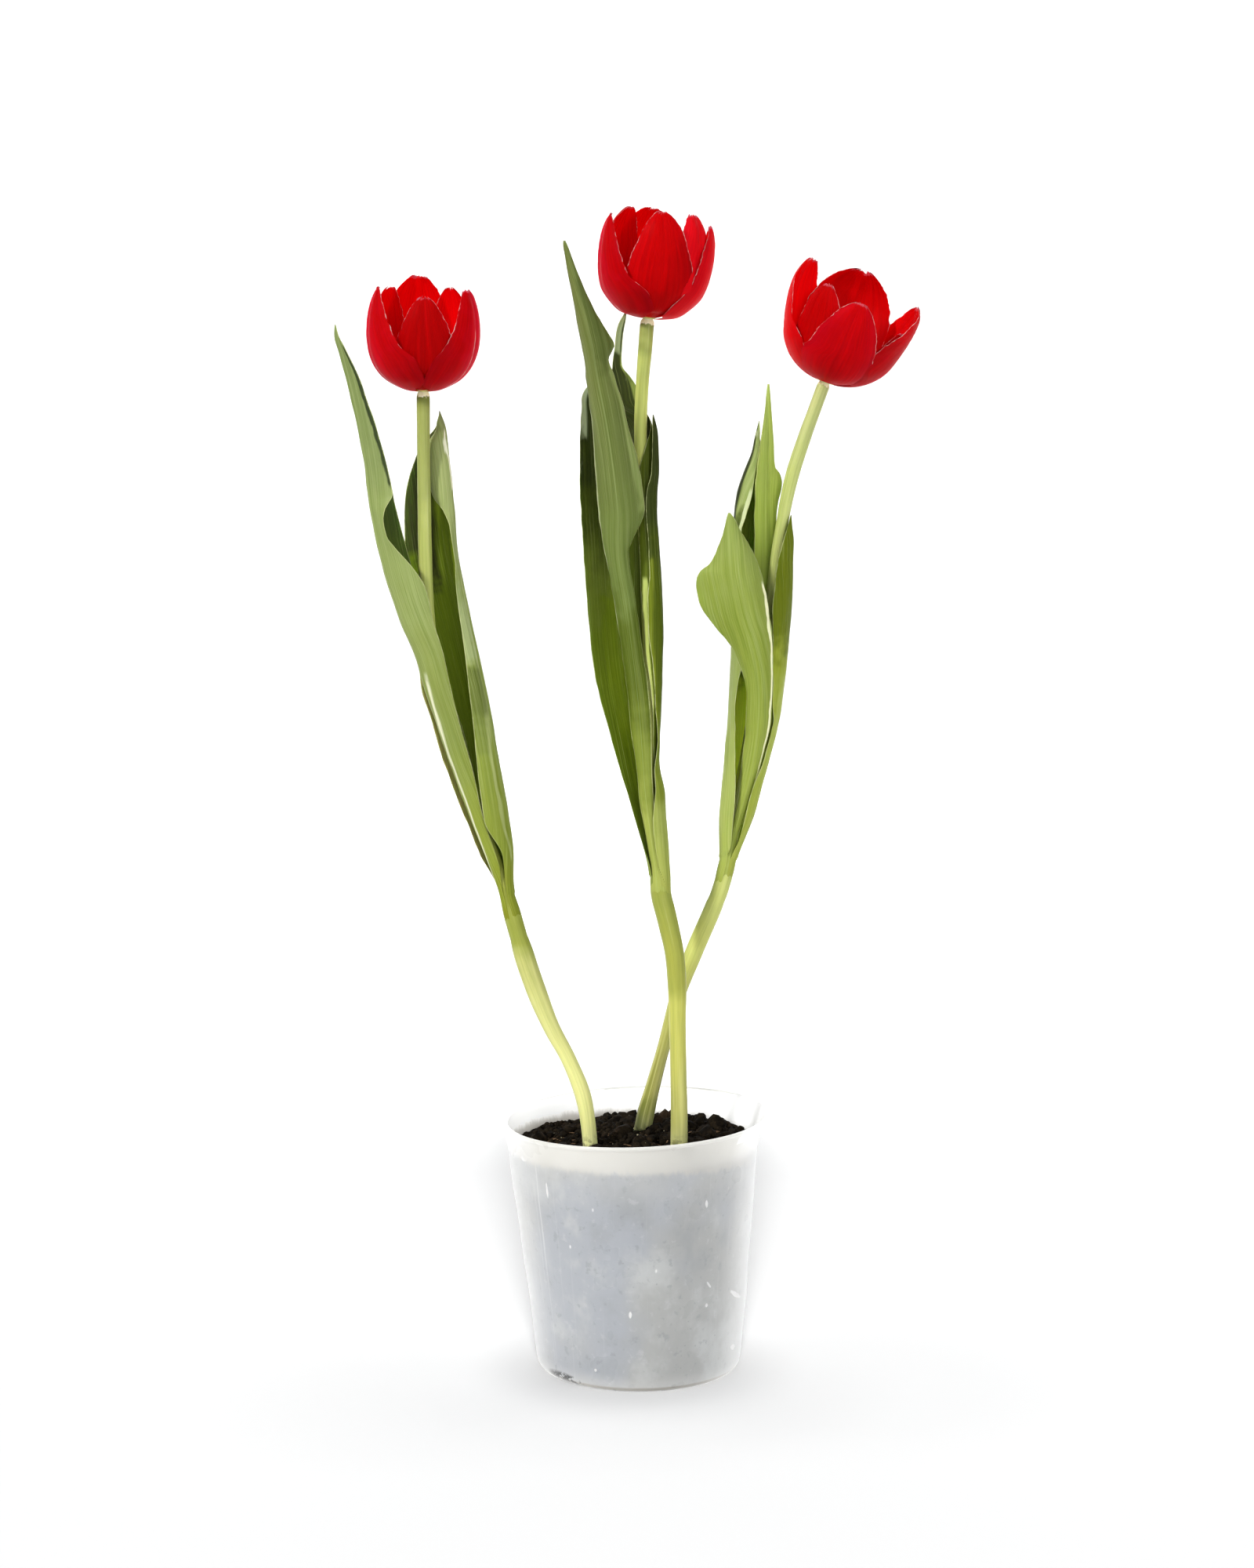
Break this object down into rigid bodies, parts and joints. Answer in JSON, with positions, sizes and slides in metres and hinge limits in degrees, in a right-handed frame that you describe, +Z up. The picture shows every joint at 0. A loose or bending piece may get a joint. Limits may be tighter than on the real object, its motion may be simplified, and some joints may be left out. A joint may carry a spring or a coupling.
{
  "type": "potted tulip",
  "caption": "Potted tulips in flower: red cup-shaped blooms on slim stems with folded clasping leaves, rising from dark soil in a frosted plastic pot.",
  "frame": {"origin": "middle of the pot's underside, on the surface it stands on", "axes": "+Z up along the pot axis, +X to the right and -Y towards a viewer who sees the flowers spread side by side"},
  "size_m": [0.2584, 0.1204, 0.5264],
  "materials": {
    "pot": "frosted translucent white polypropylene, thin wall, soft satin",
    "soil": "dark damp peat crumbs with a few pale fibres and grit",
    "bulb": "dry papery brown skin with fine lengthwise cracks",
    "stem": "smooth waxy green, paler and yellower low down",
    "leaf": "waxy grey-green outside, darker inside, parallel veins",
    "petal": "silky deep red with fine lengthwise veins and thin pale edges",
    "pistil": "pale green, matt, slightly downy stigma",
    "stamen": "dark filament and powdery anther"
  },
  "bodies": {
    "root": {"pot": "pot", "soil": "soil", "bulb_a": "bulb", "bulb_b": "bulb", "bulb_c": "bulb", "stem_a": "stem", "petal_a1": "petal", "petal_a2": "petal", "petal_a3": "petal", "petal_a4": "petal", "petal_a5": "petal", "petal_a6": "petal", "pistil_a": "pistil", "stamen_a1": "stamen", "stamen_a2": "stamen", "stamen_a3": "stamen", "stamen_a4": "stamen", "stamen_a5": "stamen", "stamen_a6": "stamen", "stem_b": "stem", "petal_b1": "petal", "petal_b2": "petal", "petal_b3": "petal", "petal_b4": "petal", "petal_b5": "petal", "petal_b6": "petal", "pistil_b": "pistil", "stamen_b1": "stamen", "stamen_b2": "stamen", "stamen_b3": "stamen", "stamen_b4": "stamen", "stamen_b5": "stamen", "stamen_b6": "stamen", "stem_c": "stem", "petal_c1": "petal", "petal_c2": "petal", "petal_c3": "petal", "petal_c4": "petal", "petal_c5": "petal", "petal_c6": "petal", "pistil_c": "pistil", "stamen_c1": "stamen", "stamen_c2": "stamen", "stamen_c3": "stamen", "stamen_c4": "stamen", "stamen_c5": "stamen", "stamen_c6": "stamen", "leaf_a1": "leaf", "leaf_a2": "leaf", "leaf_b1": "leaf", "leaf_b2": "leaf", "leaf_b3": "leaf", "leaf_b4": "leaf", "leaf_c1": "leaf", "leaf_c2": "leaf", "leaf_c3": "leaf", "leaf_c4": "leaf"}
  },
  "joints": []
}
